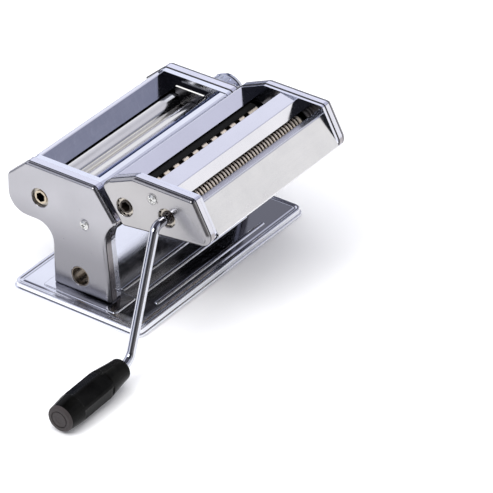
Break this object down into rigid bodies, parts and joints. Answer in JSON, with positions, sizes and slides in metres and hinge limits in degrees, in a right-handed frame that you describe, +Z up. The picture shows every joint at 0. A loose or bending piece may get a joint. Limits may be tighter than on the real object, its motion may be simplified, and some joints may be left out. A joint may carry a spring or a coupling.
{
  "type": "pasta roller machine",
  "caption": "Hand-cranked pasta machine with smooth rollers in a polished steel body on a flat base, a lift-off cutter head, a thickness knob and a crank with a black grip.",
  "frame": {"origin": "centre of the base's underside, on the table", "axes": "+X along the rollers away from the crank, +Y to the rear (the cutter head is at -Y), +Z up"},
  "size_m": [0.3878, 0.2033, 0.1363],
  "materials": {
    "polished_steel": "polished",
    "chrome_plate": "mirror chrome",
    "frame_steel": "bright zinc",
    "roller_alloy": "ground and anodised",
    "cutter_alloy": "machined and anodised",
    "zinc_hardware": "zinc",
    "gear_steel": "machined",
    "black_comb": "matt black",
    "bush_plastic": "satin",
    "scraper_plastic": "satin",
    "rubber": "matt",
    "grip_plastic": "gloss black",
    "cap_plastic": "satin dark grey",
    "spring_steel": "bright"
  },
  "bodies": {
    "machine_body": {"base_plate": "polished_steel", "rubber_feet": "rubber", "base_screws": "zinc_hardware", "left_side_cover": "polished_steel", "right_side_cover": "polished_steel", "left_side_frame": "frame_steel", "right_side_frame": "frame_steel", "rear_cover": "polished_steel", "front_cover": "polished_steel", "dough_guides": "frame_steel", "tie_rods": "zinc_hardware", "tie_rod_nuts": "zinc_hardware", "cover_screws": "chrome_plate", "drive_roller_bushes": "bush_plastic", "rear_roller_scraper": "scraper_plastic", "clamp_sleeves": "frame_steel", "head_rails": "frame_steel", "dial_plate": "zinc_hardware"},
    "drive_roller": {"drive_roller": "roller_alloy", "drive_roller_gear": "gear_steel"},
    "roller_carriage": {"bearing_blocks": "bush_plastic", "front_roller_scraper": "scraper_plastic"},
    "front_roller": {"front_roller": "roller_alloy", "front_roller_gear": "gear_steel"},
    "adjuster": {"adjuster_shaft": "zinc_hardware", "adjuster_cam": "gear_steel", "knob_retaining_screw": "chrome_plate"},
    "knob": {"adjusting_knob": "chrome_plate", "index_pin": "zinc_hardware", "knob_spring": "spring_steel"},
    "cutter_head": {"head_left_cover": "polished_steel", "head_right_cover": "polished_steel", "head_left_frame": "frame_steel", "head_right_frame": "frame_steel", "head_rear_plate": "polished_steel", "head_centre_plate": "polished_steel", "head_front_plate": "polished_steel", "head_hooks": "frame_steel", "head_tie_rods": "zinc_hardware", "head_tie_rod_nuts": "zinc_hardware", "head_screws": "chrome_plate", "cutter_bushes": "bush_plastic", "wide_combs": "black_comb", "fine_combs": "black_comb"},
    "wide_drive": {"wide_drive_cutter": "cutter_alloy", "wide_drive_gear": "gear_steel"},
    "wide_driven": {"wide_driven_cutter": "cutter_alloy", "wide_driven_gear": "gear_steel"},
    "fine_drive": {"fine_drive_cutter": "cutter_alloy", "fine_drive_gear": "gear_steel"},
    "fine_driven": {"fine_driven_cutter": "cutter_alloy", "fine_driven_gear": "gear_steel"},
    "crank": {"crank_rod": "chrome_plate", "grip_washer": "zinc_hardware"},
    "grip": {"crank_grip": "grip_plastic", "grip_end_cap": "cap_plastic"}
  },
  "joints": [
    {"name": "roller_turn", "type": "hinge", "parent": "machine_body", "child": "drive_roller", "pos_m": [0, 0.0469, 0.0856], "axis": [1, 0, 0], "continuous": true},
    {"name": "roller_gap", "type": "slide", "parent": "machine_body", "child": "roller_carriage", "axis": [0, -1, 0], "range_m": [0, 0.003]},
    {"name": "front_roller_turn", "type": "hinge", "parent": "roller_carriage", "child": "front_roller", "pos_m": [0, 0.0215, 0.0856], "axis": [1, 0, 0], "continuous": true},
    {"name": "knob_turn", "type": "hinge", "parent": "machine_body", "child": "adjuster", "pos_m": [0.1, 0.0215, 0.0856], "axis": [1, 0, 0], "range_deg": [0, 288]},
    {"name": "knob_pull", "type": "slide", "parent": "adjuster", "child": "knob", "axis": [1, 0, 0], "range_m": [0, 0.0025], "stiffness_N_per_m": 900, "springref_m": -0.002, "deforming": ["knob_spring"]},
    {"name": "head_lift", "type": "slide", "parent": "machine_body", "child": "cutter_head", "axis": [0, 0.5845, 0.8114], "range_m": [0, 0.06]},
    {"name": "wide_cutter_turn", "type": "hinge", "parent": "cutter_head", "child": "wide_drive", "pos_m": [0, -0.0379, 0.106], "axis": [1, 0, 0], "continuous": true},
    {"name": "wide_driven_turn", "type": "hinge", "parent": "cutter_head", "child": "wide_driven", "pos_m": [0, -0.0563, 0.106], "axis": [1, 0, 0], "continuous": true},
    {"name": "fine_cutter_turn", "type": "hinge", "parent": "cutter_head", "child": "fine_drive", "pos_m": [0, -0.0798, 0.1112], "axis": [1, 0, 0], "continuous": true},
    {"name": "fine_driven_turn", "type": "hinge", "parent": "cutter_head", "child": "fine_driven", "pos_m": [0, -0.0982, 0.1112], "axis": [1, 0, 0], "continuous": true},
    {"name": "crank_pull", "type": "slide", "parent": "fine_drive", "child": "crank", "axis": [-1, 0, 0], "range_m": [0, 0.045]},
    {"name": "grip_spin", "type": "hinge", "parent": "crank", "child": "grip", "pos_m": [-0.19998, -0.09232, 0.01478], "axis": [0.9994, 0.0045, 0.0346], "continuous": true}
  ],
  "couplings": [
    {"joint": "front_roller_turn", "follows": "roller_turn", "ratio": -1},
    {"joint": "knob_turn", "follows": "roller_gap", "rad_per_m": 1675.5},
    {"joint": "wide_driven_turn", "follows": "wide_cutter_turn", "ratio": -1},
    {"joint": "fine_driven_turn", "follows": "fine_cutter_turn", "ratio": -1}
  ]
}
